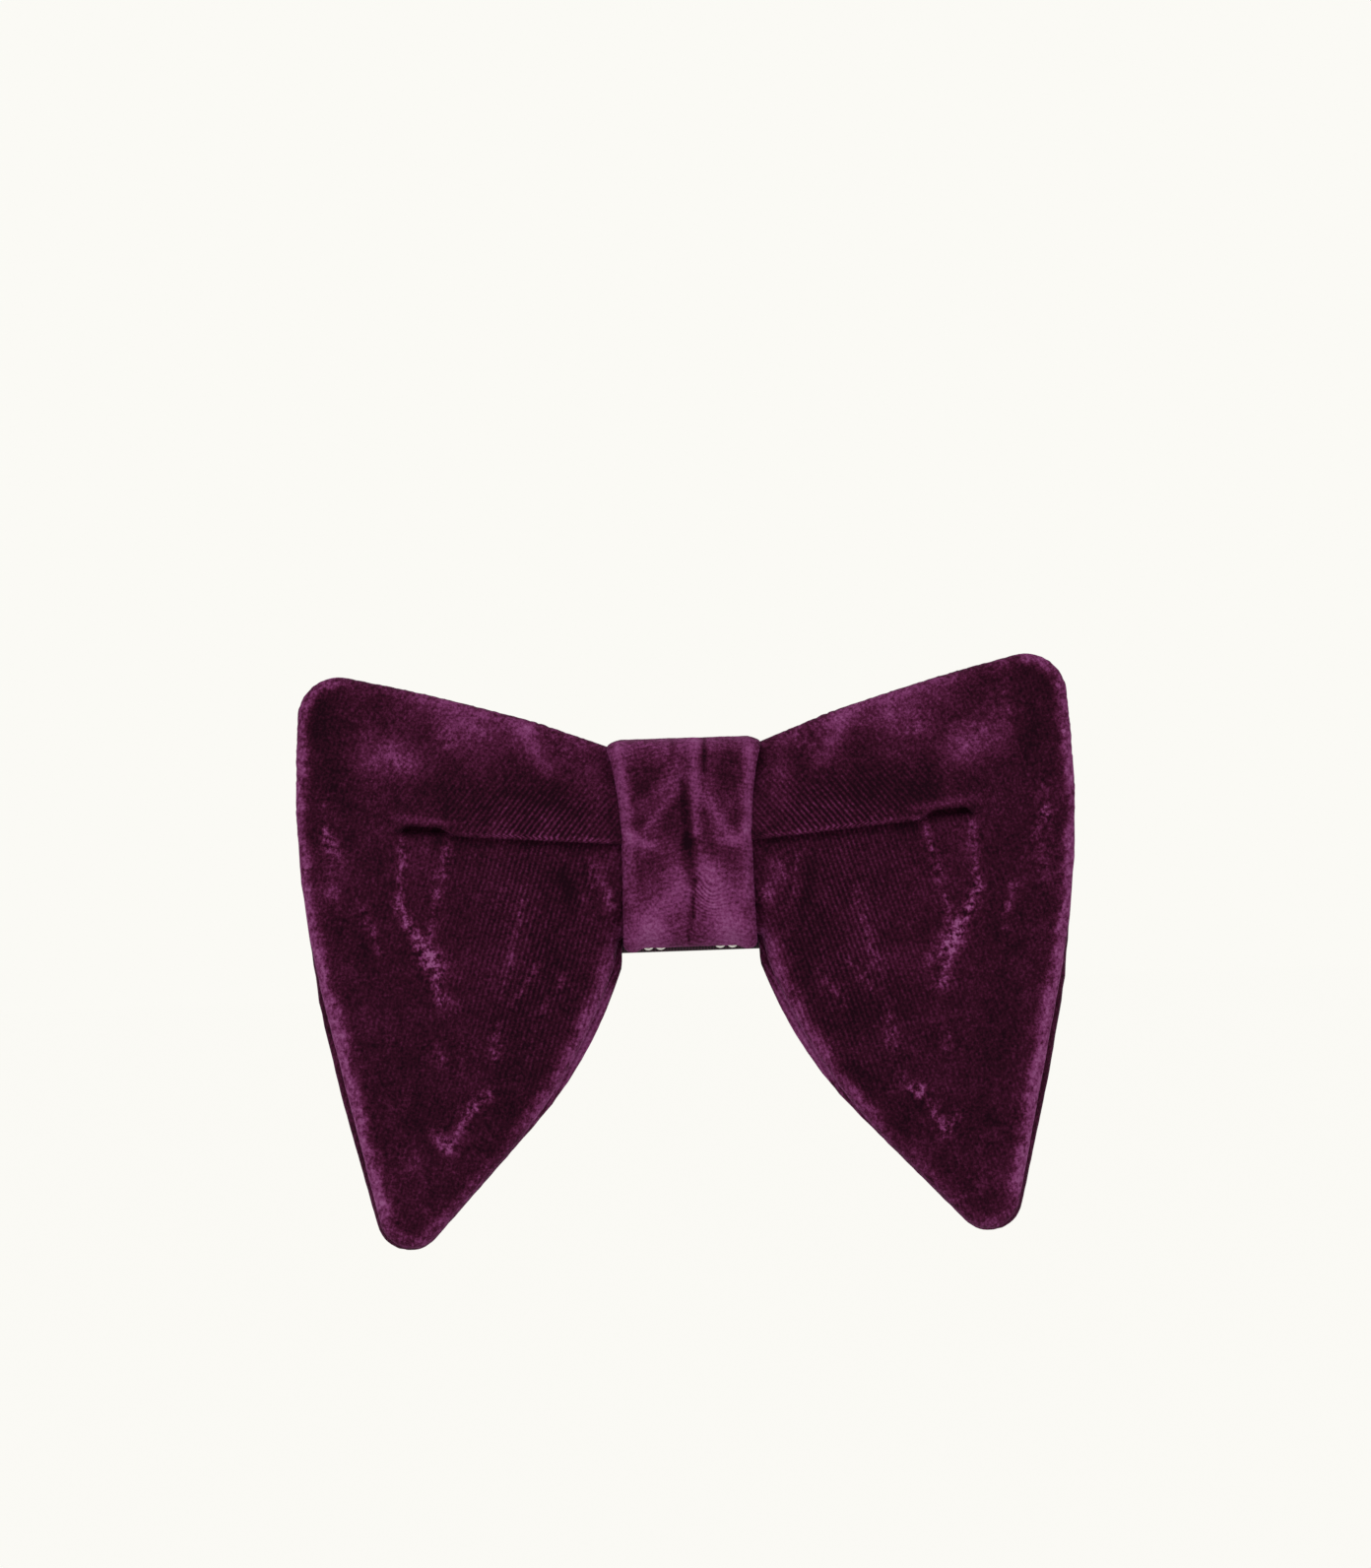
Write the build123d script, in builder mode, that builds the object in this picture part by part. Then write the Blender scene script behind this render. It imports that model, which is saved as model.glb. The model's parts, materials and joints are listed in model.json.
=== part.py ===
import os
from build123d import *

os.makedirs("parts", exist_ok=True)

# Frame: mm, +Z up, the bow faces -Y and +X is the viewer's right.
# The origin is the middle of the ribbed tape's rear face, which rests on the collar.

# Bow outline, right half: waist, top edge, top corner, outer side, tip, inner edge
waistTop = 29.4
waistFoot = -6.0
topInner = (15.6, 31.7)
topBend = (29.5, 37.0)
topCorner = (73.0, 48.6)
sideBend = (76.6, 9.8)
tip = (60.5, -72.4)
footBend = (22.5, -31.3)
footInner = (13.5, -11.5)
waistStep = 0.5
outlineRadii = (0.3, 0.3, 55, 8, 140, 7.2, 55, 0.3)
backOutlineRadii = (0.3, 0.3, 55, 9, 140, 9, 55, 0.3)
peekOut = 1.2
interliningInset = 5.0

# Layers of the two bows
faceLayer = 2.0
interliningLayer = 0.7
backLayer = 1.7
bowRear = -6.2
bowLayers = faceLayer + interliningLayer + backLayer
frontBowFront = bowRear - 2 * bowLayers
pleatHeight = 1.6
pleatInner = (15.6, 12.5)
pleatOuter = (55.5, 16.3)
pleatTopOuter = (57.0, 34.0)
pleatTopInner = (17.0, 29.0)

# Knot
knotTop = 32.4
knotFoot = -9.0
knotFront = -18.7
knotRear = -3.6
wrapLayer = 1.6
knotTopHalf = 15.2
knotWaistHalf = 12.6
knotFootHalf = 13.0
knotWaistZ = 13.0
knotCorner = 5.0
knotRearCorner = 1.8
knotInterlining = 0.8
knotInterliningGap = 0.5
seamHeight = 1.4
threadWire = 0.4
threadPitch = 1.6
threadTurns = 4
threadOffset = 0.55
threadCorner = 0.8

# Ribbed tape behind the knot, its pad and its two sewn eyes
tapeHeight = 18.0
halfTape = tapeHeight / 2
tapeLayer = 0.9
tapeLapEnd = 13.5
tapeTackX = 14.4
tapeTackWidth = 0.8
padHalf = 10.0
padFoot = -2.5
padTop = 8.0
eyeWire = 0.4
eyeRing = 0.9
eyeX = 7.0
eyeFootZ = -7.3
eyeTopZ = -3.4
eyeSpread = 1.2
eyeBend = 0.8

# Wire rings
wire = 0.75
foldInner = wire + 0.1
foldOuter = foldInner + tapeLayer
barY = -foldOuter
ringInnerX = 16.5
ringOuterX = 23.0
ringHalf = halfTape + 0.4 + wire
ringCorner = 1.5

# Neck strap, right side
leaveAngle = 12
stubLength = 8.0
frontBend = 39.4
sideX = 62.0
sideY = 62.0
clearGap = 0.15
backBend = 28.0
backY = 112.0
tackWidth = 1.2
tackHeight = 14.0
tackProud = 0.3
tackReach = 5.0
claspLap = 6.5
sliderLap = 25.0

# Clasp and slider
eyeBarX = -12.5
eyeFarX = -4.0
hookBarX = 9.0
hookPlateX = 4.4
hookPlate = 1.0
hookTipX = 1.0
hookGap = 0.95
hookHeight = 12.0
sliderX = 22.5
sliderHalf = 4.0
sliderBar = 1.2
sliderGap = 0.3
sliderEdge = 0.35

# How far a cutting shape runs past what it cuts
cutOver = 0.1


def keep(part, label):
    part.label = label
    export_step(part, f"parts/{label}.step")


# The two bows, face to back
bowStack = (
    ("front_bow_face", faceLayer, peekOut, outlineRadii, 0),
    ("front_bow_interlining", interliningLayer, peekOut, outlineRadii, interliningInset),
    ("front_bow_back", backLayer, peekOut, outlineRadii, 0),
    ("back_bow_face", faceLayer, 0, backOutlineRadii, 0),
    ("back_bow_interlining", interliningLayer, 0, backOutlineRadii, interliningInset),
    ("back_bow_back", backLayer, 0, backOutlineRadii, 0),
)
layerFront = frontBowFront
for label, thickness, margin, radii, inset in bowStack:
    with BuildPart() as layer:
        with BuildSketch(Plane.XZ.offset(-layerFront)):
            with BuildLine():
                edge = FilletPolyline(
                    (0, waistTop),
                    (topInner[0] - waistStep, waistTop),
                    topInner,
                    topBend,
                    topCorner,
                    (sideBend[0] - margin / 3, sideBend[1]),
                    tip,
                    (footBend[0] + margin, footBend[1] + margin / 3),
                    (footInner[0] + margin, footInner[1] + margin),
                    (footInner[0] + margin, waistFoot),
                    radius=radii,
                )
                Polyline(edge @ 1, (0, waistFoot), (0, waistTop))
            make_face()
            mirror(about=Plane.YZ)
            if inset:
                offset(amount=-inset, mode=Mode.REPLACE)
        extrude(amount=-thickness)
        if label == "front_bow_face":
            with BuildSketch(Plane.XZ.offset(-layerFront)):
                with BuildLine():
                    Polyline(pleatInner, pleatOuter, pleatTopOuter, pleatTopInner, close=True)
                make_face()
                mirror(about=Plane.YZ)
            extrude(amount=pleatHeight)
    keep(layer.part, label)
    layerFront += thickness

# Thread turns drawn tight round the gathered waist
with BuildPart() as gatherThread:
    for turn in range(threadTurns):
        turnX = (turn - (threadTurns - 1) / 2) * threadPitch
        with BuildLine(Plane.YZ.offset(turnX)):
            loop = FilletPolyline(
                (bowRear + threadOffset, waistTop + threadOffset),
                (frontBowFront - threadOffset, waistTop + threadOffset),
                (frontBowFront - threadOffset, waistFoot - threadOffset),
                (bowRear + threadOffset, waistFoot - threadOffset),
                radius=threadCorner,
                close=True,
            )
        with BuildSketch(Plane(origin=loop @ 0, z_dir=loop % 0)):
            Circle(threadWire)
        sweep()
keep(gatherThread.part, "gather_thread")

# Knot wrap: a closed band over the front, top, back and foot, open at its two sides
with BuildPart() as knotWrap:
    with BuildSketch(Plane.YZ.offset(-knotTopHalf)):
        with BuildLine():
            FilletPolyline(
                (knotFront, knotFoot),
                (knotFront, knotTop),
                (knotRear, knotTop),
                (knotRear, knotFoot),
                radius=(knotCorner, knotCorner, knotRearCorner, knotRearCorner),
                close=True,
            )
        make_face()
        offset(amount=-wrapLayer, mode=Mode.SUBTRACT)
    extrude(amount=2 * knotTopHalf)
    with BuildSketch(Plane.XZ):
        with BuildLine():
            side = ThreePointArc(
                (knotTopHalf, knotTop + cutOver),
                (knotWaistHalf, knotWaistZ),
                (knotFootHalf, knotFoot - cutOver),
            )
            Polyline(side @ 1, (0, knotFoot - cutOver), (0, knotTop + cutOver), side @ 0)
        make_face()
        mirror(about=Plane.YZ)
    extrude(amount=-knotFront + cutOver, mode=Mode.INTERSECT)
    with Locations((0, knotRear - wrapLayer / 2, knotWaistZ)):
        Box(2 * knotTopHalf, wrapLayer + 2 * cutOver, seamHeight, mode=Mode.SUBTRACT)
keep(knotWrap.part, "knot_wrap")

with BuildPart() as knotSeam:
    with Locations((0, knotRear - wrapLayer / 2, knotWaistZ)):
        Box(2 * knotWaistHalf, wrapLayer, seamHeight)
keep(knotSeam.part, "knot_back_seam")

with BuildPart() as knotStiffener:
    with Locations((0, knotFront + wrapLayer + knotInterlining / 2, (knotTop + knotFoot) / 2)):
        Box(
            2 * (knotWaistHalf - knotInterliningGap),
            knotInterlining,
            knotTop - knotFoot - 2 * (knotCorner + knotInterliningGap),
        )
keep(knotStiffener.part, "knot_interlining")

# Ribbed tape across the back of the knot, each end folded forward round a ring
with BuildPart() as backTape:
    with BuildSketch(Plane.XY.offset(-halfTape)):
        with Locations((0, -tapeLayer / 2)):
            Rectangle(2 * ringInnerX, tapeLayer)
        with Locations((ringInnerX, barY), (-ringInnerX, barY)):
            Circle(foldOuter)
        lapMiddle = (tapeLapEnd + ringInnerX) / 2
        with Locations((lapMiddle, barY), (-lapMiddle, barY)):
            Rectangle(ringInnerX - tapeLapEnd, 2 * foldOuter)
            Rectangle(ringInnerX - tapeLapEnd, 2 * foldInner, mode=Mode.SUBTRACT)
        with Locations((ringInnerX, barY), (-ringInnerX, barY)):
            Circle(foldInner, mode=Mode.SUBTRACT)
    extrude(amount=tapeHeight)
    with Locations((tapeTackX, barY, 0), (-tapeTackX, barY, 0)):
        Box(tapeTackWidth, 2 * (foldOuter + cutOver), tackHeight, mode=Mode.SUBTRACT)
keep(backTape.part, "back_tape")

with BuildPart() as tapeTacks:
    with Locations((tapeTackX, barY - tackProud / 2, 0), (-tapeTackX, barY - tackProud / 2, 0)):
        Box(tapeTackWidth, 2 * foldOuter + tackProud, tackHeight)
keep(tapeTacks.part, "back_tape_tacks")

with BuildPart() as backPad:
    with Locations((0, (knotRear - tapeLayer) / 2, (padFoot + padTop) / 2)):
        Box(2 * padHalf, -knotRear - tapeLayer, padTop - padFoot)
keep(backPad.part, "back_pad")

# Two bent wire eyes sewn to the front of the tape, each with two small foot rings
with BuildPart() as tapeEyes:
    for eye in (eyeX, -eyeX):
        with BuildLine(Plane.XZ.offset(tapeLayer + eyeWire)):
            arch = FilletPolyline(
                (eye - eyeSpread, eyeFootZ + eyeRing),
                (eye - eyeSpread, eyeTopZ),
                (eye + eyeSpread, eyeTopZ),
                (eye + eyeSpread, eyeFootZ + eyeRing),
                radius=eyeBend,
            )
        with BuildSketch(Plane(origin=arch @ 0, z_dir=arch % 0)):
            Circle(eyeWire)
        sweep()
        footY = -tapeLayer - eyeWire
        with Locations((eye - eyeSpread, footY, eyeFootZ), (eye + eyeSpread, footY, eyeFootZ)):
            Torus(eyeRing, eyeWire, rotation=(90, 0, 0))
keep(tapeEyes.part, "tape_eyes")

# Wire rings: two at the tape's ends and the eye of the clasp
wireRings = (
    ("ring_right", ringInnerX, ringOuterX, barY),
    ("ring_left", -ringInnerX, -ringOuterX, barY),
    ("clasp_eye", eyeBarX, eyeFarX, backY),
)
for label, nearX, farX, ringY in wireRings:
    with BuildPart() as ring:
        with BuildLine(Plane.XZ.offset(-ringY)):
            loop = FilletPolyline(
                (nearX, ringHalf),
                (farX, ringHalf),
                (farX, -ringHalf),
                (nearX, -ringHalf),
                radius=ringCorner,
                close=True,
            )
        with BuildSketch(Plane(origin=loop @ 0, z_dir=loop % 0)):
            Circle(wire)
        sweep()
    keep(ring.part, label)

# Neck strap: on each side a front part from the ring to beside the neck
for name, hand in (("right", 1), ("left", -1)):
    heading = Vector(hand, 0).rotate(Axis.Z, hand * leaveAngle)
    bar = Vector(hand * ringOuterX, barY)
    lapAngle = hand * leaveAngle
    with BuildPart() as strapFront:
        with BuildSketch(Plane.XY.offset(-halfTape)):
            with BuildLine():
                stub = Line(bar, bar + heading * stubLength)
                bend = JernArc(stub @ 1, heading, frontBend, hand * (90 - leaveAngle))
                Line(bend @ 1, (hand * sideX, sideY - tapeLayer / 2 - clearGap))
            trace(line_width=tapeLayer)
            with Locations(bar + heading * (tackReach + tackWidth) / 2):
                Rectangle(tackReach + tackWidth, 2 * tapeLayer, rotation=lapAngle)
            with Locations(bar):
                Circle(foldOuter)
                Circle(foldInner, mode=Mode.SUBTRACT)
        extrude(amount=tapeHeight)
        with Locations(Location(bar + heading * tackReach, (0, 0, lapAngle))):
            Box(tackWidth, 2 * (tapeLayer + cutOver), tackHeight, mode=Mode.SUBTRACT)
    keep(strapFront.part, f"strap_{name}_front")
    with BuildPart() as frontTack:
        with Locations(Location(bar + heading * tackReach, (0, 0, lapAngle))):
            Box(tackWidth, 2 * (tapeLayer + tackProud), tackHeight)
    keep(frontTack.part, f"strap_{name}_front_tack")

# and a back part round to the clasp, doubled where it passes through the slider
for name, hand, endX, lap in (("right", 1, hookBarX, sliderLap), ("left", -1, -eyeBarX, claspLap)):
    bar = Vector(hand * endX, backY)
    with BuildPart() as strapBack:
        with BuildSketch(Plane.XY.offset(-halfTape)):
            with BuildLine():
                run = Line((hand * sideX, sideY), (hand * sideX, backY - backBend))
                bend = JernArc(run @ 1, (0, 1), backBend, hand * 90)
                Line(bend @ 1, bar)
            trace(line_width=tapeLayer)
            with Locations((hand * sideX, sideY)):
                Circle(tapeLayer / 2)
            with Locations((hand * (endX + lap / 2), backY)):
                Rectangle(lap, 2 * tapeLayer)
            with Locations(bar):
                Circle(foldOuter)
                Circle(foldInner, mode=Mode.SUBTRACT)
        extrude(amount=tapeHeight)
        with Locations((hand * (endX + tackReach), backY, 0)):
            Box(tackWidth, 2 * (tapeLayer + cutOver), tackHeight, mode=Mode.SUBTRACT)
    keep(strapBack.part, f"strap_{name}_back")
    with BuildPart() as backTack:
        with Locations((hand * (endX + tackReach), backY, 0)):
            Box(tackWidth, 2 * (tapeLayer + tackProud), tackHeight)
    keep(backTack.part, f"strap_{name}_back_tack")

# Clasp hook: a wire frame for the ribbon and a flat plate bent back on itself
with BuildPart() as claspHook:
    with BuildLine(Plane.XZ.offset(-backY)):
        frame = FilletPolyline(
            (hookBarX, ringHalf),
            (hookPlateX, ringHalf),
            (hookPlateX, -ringHalf),
            (hookBarX, -ringHalf),
            radius=ringCorner,
            close=True,
        )
    with BuildSketch(Plane(origin=frame @ 0, z_dir=frame % 0)):
        Circle(wire)
    sweep()
    with BuildSketch(Plane.XY.offset(-hookHeight / 2)):
        bendY = backY + hookPlate / 2 + hookGap
        with Locations((hookTipX, bendY)):
            Circle(hookGap + hookPlate)
            Circle(hookGap, mode=Mode.SUBTRACT)
        with Locations((hookTipX + (hookPlateX - hookTipX) / 2, bendY)):
            Rectangle(hookPlateX - hookTipX, 2 * (hookGap + hookPlate))
            Rectangle(hookPlateX - hookTipX, 2 * hookGap, mode=Mode.SUBTRACT)
    extrude(amount=hookHeight)
keep(claspHook.part, "clasp_hook")

# Slider: two bars inside the doubled ribbon, one outside, joined over its edges
with BuildPart() as slider:
    sliderFront = backY - tapeLayer - sliderGap - sliderBar
    sliderBack = backY + tapeLayer + sliderGap + sliderBar
    railZ = halfTape + sliderGap + sliderBar / 2
    with Locations((sliderX, backY, railZ), (sliderX, backY, -railZ)):
        Box(2 * sliderHalf, sliderBack - sliderFront, sliderBar)
    outerBar = sliderHalf - sliderBar / 2
    barFrontY = sliderFront + sliderBar / 2
    with Locations((sliderX - outerBar, barFrontY, 0), (sliderX + outerBar, barFrontY, 0)):
        Box(sliderBar, sliderBar, 2 * railZ)
    with Locations((sliderX, sliderBack - sliderBar / 2, 0)):
        Box(sliderBar, sliderBar, 2 * railZ)
    fillet(slider.edges(), sliderEdge)
keep(slider.part, "slider")
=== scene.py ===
import bisect
import json
import math

import bmesh
import bpy
from mathutils import Matrix, Vector, kdtree, noise


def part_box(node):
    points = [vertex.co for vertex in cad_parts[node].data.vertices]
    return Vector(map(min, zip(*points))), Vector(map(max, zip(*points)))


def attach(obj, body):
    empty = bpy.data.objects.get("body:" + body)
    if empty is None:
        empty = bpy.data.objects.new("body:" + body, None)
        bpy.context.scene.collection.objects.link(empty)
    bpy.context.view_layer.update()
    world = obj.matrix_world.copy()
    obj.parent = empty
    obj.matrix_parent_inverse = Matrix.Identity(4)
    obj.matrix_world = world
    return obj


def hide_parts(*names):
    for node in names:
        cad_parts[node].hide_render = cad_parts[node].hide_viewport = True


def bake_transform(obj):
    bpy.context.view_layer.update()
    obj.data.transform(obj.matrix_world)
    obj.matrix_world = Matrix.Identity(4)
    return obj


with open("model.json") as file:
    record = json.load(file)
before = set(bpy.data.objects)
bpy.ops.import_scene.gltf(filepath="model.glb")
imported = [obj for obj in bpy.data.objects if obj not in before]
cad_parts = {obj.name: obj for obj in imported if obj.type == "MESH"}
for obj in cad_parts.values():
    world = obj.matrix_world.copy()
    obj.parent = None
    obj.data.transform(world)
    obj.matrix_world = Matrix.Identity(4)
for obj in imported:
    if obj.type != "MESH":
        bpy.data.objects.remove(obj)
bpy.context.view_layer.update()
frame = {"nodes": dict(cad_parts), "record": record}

mm = 0.001


def smooth(low, high, value):
    t = min(max((value - low) / (high - low), 0.0), 1.0)
    return t * t * (3 - 2 * t)


def bell(value, width):
    return math.exp(-(value / width) ** 2)


# rounds each inner corner of a run of points; also says which sample is the middle of each corner
def roundedRun(points, radii, step=5):
    points = [Vector(p) for p in points]
    samples, middles = [points[0]], []
    for i, radius in enumerate(radii):
        before, corner, after = points[i:i + 3]
        one, two = (before - corner).normalized(), (after - corner).normalized()
        half = one.angle(two) / 2
        centre = corner + (one + two).normalized() * radius / math.sin(half)
        start = corner + one * radius / math.tan(half) - centre
        end = corner + two * radius / math.tan(half) - centre
        steps = max(2 * math.ceil(math.degrees(start.angle(end)) / step / 2), 2)
        middles.append(len(samples) + steps // 2)
        for k in range(steps + 1):
            samples.append(centre + radius * start.slerp(end, k / steps))
    return samples + [points[-1]], middles


# a function from a share of the run's length to the point there, and the length
def alongRun(samples):
    lengths = [0.0]
    for a, b in zip(samples, samples[1:]):
        lengths.append(lengths[-1] + (b - a).length)

    def at(t):
        d = min(max(t, 0.0), 1.0) * lengths[-1]
        k = min(max(bisect.bisect_right(lengths, d), 1), len(samples) - 1)
        span = lengths[k] - lengths[k - 1]
        return samples[k - 1].lerp(samples[k], (d - lengths[k - 1]) / span if span else 0)

    return at, lengths[-1]


# a flat grid from the operator, each point then placed by its two shares
def placedGrid(columns, rows, place):
    bm = bmesh.new()
    bmesh.ops.create_grid(bm, x_segments=columns, y_segments=rows, size=0.5)
    for vert in bm.verts:
        vert.co = place(vert.co.x + 0.5, vert.co.y + 0.5) * mm
    return bm


def joinInto(target, source):
    mesh = bpy.data.meshes.new("joined")
    source.to_mesh(mesh)
    source.free()
    target.from_mesh(mesh)
    bpy.data.meshes.remove(mesh)


def closeAndTurn(bm):
    bmesh.ops.remove_doubles(bm, verts=bm.verts, dist=0.0005 * mm)
    openEdges = [e for e in bm.edges if e.is_boundary]
    if openEdges:
        bmesh.ops.holes_fill(bm, edges=openEdges)
    bmesh.ops.recalc_face_normals(bm, faces=bm.faces)


def addPiece(name, bm, material, body, replaced=()):
    mesh = bpy.data.meshes.new(name)
    bm.to_mesh(mesh)
    bm.free()
    mesh.shade_smooth()
    mesh.materials.append(material)
    piece = bpy.data.objects.new(name, mesh)
    bpy.context.scene.collection.objects.link(piece)
    if body:
        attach(piece, body)
    if replaced:
        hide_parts(*replaced)
    return piece


def colour(code):
    parts = [int(code[i:i + 2], 16) / 255 for i in (1, 3, 5)]
    return [c / 12.92 if c <= 0.04045 else ((c + 0.055) / 1.055) ** 2.4 for c in parts] + [1.0]


def newMaterial(name):
    material = bpy.data.materials.new(name)
    material.use_nodes = True
    tree = material.node_tree
    return material, tree, tree.nodes["Principled BSDF"]


def addNode(tree, kind, settings=None, links=None):
    node = tree.nodes.new(kind)
    for key, value in (settings or {}).items():
        if isinstance(key, int) or key in node.inputs:
            node.inputs[key].default_value = value
        else:
            setattr(node, key, value)
    for key, socket in (links or {}).items():
        tree.links.new(socket, node.inputs[key])
    return node


def fillRamp(node, stops):
    ramp = node.color_ramp
    ramp.elements.remove(ramp.elements[-1])
    ramp.elements[0].position, ramp.elements[0].color = stops[0][0], colour(stops[0][1])
    for position, code in stops[1:]:
        ramp.elements.new(position).color = colour(code)


velvetLook = {
    "rowSpacing": 0.93,     # mm between rows of pile
    "blotch": 8.0,          # mm, soft crushed patches
    "fleck": 1.3,           # mm, ragged breaks in the marks
    "tuft": 0.55,           # mm, drawn coarser than the real 0.1 so that it shows
    "rowAmount": 0.09,
    "blotchAmount": 0.26,
    "fleckAmount": 0.22,
    "tuftAmount": 0.42,
}


# Cotton velvet, woven and cut, then crushed. Standing pile swallows light and is nearly black;
# where it lies over it shows violet, in ragged marks. The violet along rolled edges is painted sheen, and
# painted highlights and shade follow the folds.
def crushedVelvet():
    look = velvetLook
    material, tree, shader = newMaterial("crushedCottonVelvet")
    place = addNode(tree, "ShaderNodeTexCoord")
    rowMap = addNode(tree, "ShaderNodeUVMap", {"uv_map": "pileRows"})
    layAndShading = addNode(tree, "ShaderNodeAttribute", {"attribute_name": "layAndShading"})
    crushAndRimSheen = addNode(tree, "ShaderNodeAttribute", {"attribute_name": "crushAndRimSheen"})
    rowShow = addNode(tree, "ShaderNodeAttribute", {"attribute_name": "rowShow"})

    def grain(size, detail, roughness, distortion):
        return addNode(tree, "ShaderNodeTexNoise", {
            "Scale": 1 / (size * mm), "Detail": detail, "Roughness": roughness, "Distortion": distortion,
        }, {"Vector": place.outputs["Object"]}).outputs["Fac"]

    def sums(operation, a, b, c=None):
        node = addNode(tree, "ShaderNodeMath", {"operation": operation})
        for socket, value in zip(node.inputs, (a, b, c)):
            if isinstance(value, (int, float)):
                socket.default_value = value
            elif value:
                tree.links.new(value, socket)
        return node.outputs[0]

    # the sine wave repeats every 0.314 / scale; the map is in metres across the rows
    wave = addNode(tree, "ShaderNodeTexWave", {
        "Scale": 0.31416 / (look["rowSpacing"] * mm), "Distortion": 0.9, "Detail": 2.0, "Detail Scale": 1.5,
    }, {"Vector": rowMap.outputs["UV"]}).outputs["Fac"]
    blotch = grain(look["blotch"], 5.0, 0.62, 0.4)
    fleck = grain(look["fleck"], 4.0, 0.72, 0.2)
    tuft = grain(look["tuft"], 2.0, 0.7, 0.0)
    # the lay value brings the pile's lay together with painted highlights and painted shade
    total = sums("MULTIPLY_ADD", sums("SUBTRACT", blotch, 0.5), 2 * look["blotchAmount"], layAndShading.outputs["Fac"])
    # marks, and the painted rim sheen that goes with them, show only where the flecks let them through
    torn = addNode(tree, "ShaderNodeMapRange", {
        "From Min": 0.38, "From Max": 0.64, "To Min": 0.0, "To Max": 1.5,
    }, {"Value": fleck}).outputs["Result"]
    total = sums("MULTIPLY_ADD", crushAndRimSheen.outputs["Fac"], torn, total)
    total = sums("MULTIPLY_ADD", sums("SUBTRACT", fleck, 0.5), 2 * look["fleckAmount"], total)
    total = sums("MULTIPLY_ADD", sums("SUBTRACT", tuft, 0.5), 2 * look["tuftAmount"], total)
    rows = sums("MULTIPLY", sums("SUBTRACT", wave, 0.5), rowShow.outputs["Fac"])
    total = sums("MULTIPLY_ADD", rows, 2 * look["rowAmount"], total)
    ramp = addNode(tree, "ShaderNodeValToRGB", {}, {"Fac": total})
    fillRamp(ramp, [(0.0, "#15030c"), (0.22, "#2a0819"), (0.42, "#42142f"),
                    (0.66, "#652c55"), (0.95, "#7d4770")])
    tree.links.new(ramp.outputs["Color"], shader.inputs["Base Color"])
    shader.inputs["Roughness"].default_value = 0.9
    shader.inputs["Specular IOR Level"].default_value = 0.04
    shader.inputs["Sheen Weight"].default_value = 0.14
    shader.inputs["Sheen Roughness"].default_value = 0.4
    shader.inputs["Sheen Tint"].default_value = colour("#a05c98")
    rowBump = addNode(tree, "ShaderNodeBump", {"Strength": 0.5, "Distance": 0.10 * mm}, {"Height": wave})
    bump = addNode(tree, "ShaderNodeBump", {"Strength": 0.6, "Distance": 0.15 * mm},
                   {"Height": tuft, "Normal": rowBump.outputs["Normal"]})
    tree.links.new(bump.outputs["Normal"], shader.inputs["Normal"])
    return material


# Rayon grosgrain, woven with thick weft: dull near-black plum, with a painted highlight on each rib's crown
def grosgrain():
    material, tree, shader = newMaterial("wovenRayonGrosgrain")
    place = addNode(tree, "ShaderNodeTexCoord")
    ribCrownHighlight = addNode(tree, "ShaderNodeAttribute", {"attribute_name": "ribCrownHighlight"})
    yarn = addNode(tree, "ShaderNodeTexNoise", {"Scale": 1 / (0.35 * mm), "Detail": 3.0},
                   {"Vector": place.outputs["Object"]})
    # yarn noise plus the painted highlight on each rib's crown
    mixed = addNode(tree, "ShaderNodeMath", {"operation": "MULTIPLY_ADD", 1: 0.5},
                    {0: yarn.outputs["Fac"], 2: ribCrownHighlight.outputs["Fac"]})
    ramp = addNode(tree, "ShaderNodeValToRGB", {}, {"Fac": mixed.outputs[0]})
    fillRamp(ramp, [(0.15, "#0d0508"), (0.6, "#1e0d16"), (1.0, "#3a202e")])
    tree.links.new(ramp.outputs["Color"], shader.inputs["Base Color"])
    shader.inputs["Roughness"].default_value = 0.7
    shader.inputs["Specular IOR Level"].default_value = 0.2
    shader.inputs["Sheen Weight"].default_value = 0.05
    bump = addNode(tree, "ShaderNodeBump", {"Strength": 0.5, "Distance": 0.05 * mm},
                   {"Height": yarn.outputs["Fac"]})
    tree.links.new(bump.outputs["Normal"], shader.inputs["Normal"])
    return material


# Nickel-plated steel, drawn or stamped: bright and neutral, with a faint uneven haze
def nickelPlate():
    material, tree, shader = newMaterial("nickelPlatedSteel")
    place = addNode(tree, "ShaderNodeTexCoord")
    haze = addNode(tree, "ShaderNodeTexNoise", {"Scale": 1 / (1.4 * mm), "Detail": 4.0},
                   {"Vector": place.outputs["Object"]})
    rough = addNode(tree, "ShaderNodeMapRange", {"To Min": 0.14, "To Max": 0.36},
                    {"Value": haze.outputs["Fac"]})
    tint = addNode(tree, "ShaderNodeValToRGB", {}, {"Fac": haze.outputs["Fac"]})
    fillRamp(tint, [(0.25, "#a9a6a0"), (0.8, "#cfccc6")])
    tree.links.new(tint.outputs["Color"], shader.inputs["Base Color"])
    tree.links.new(rough.outputs["Result"], shader.inputs["Roughness"])
    shader.inputs["Metallic"].default_value = 1.0
    return material


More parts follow.
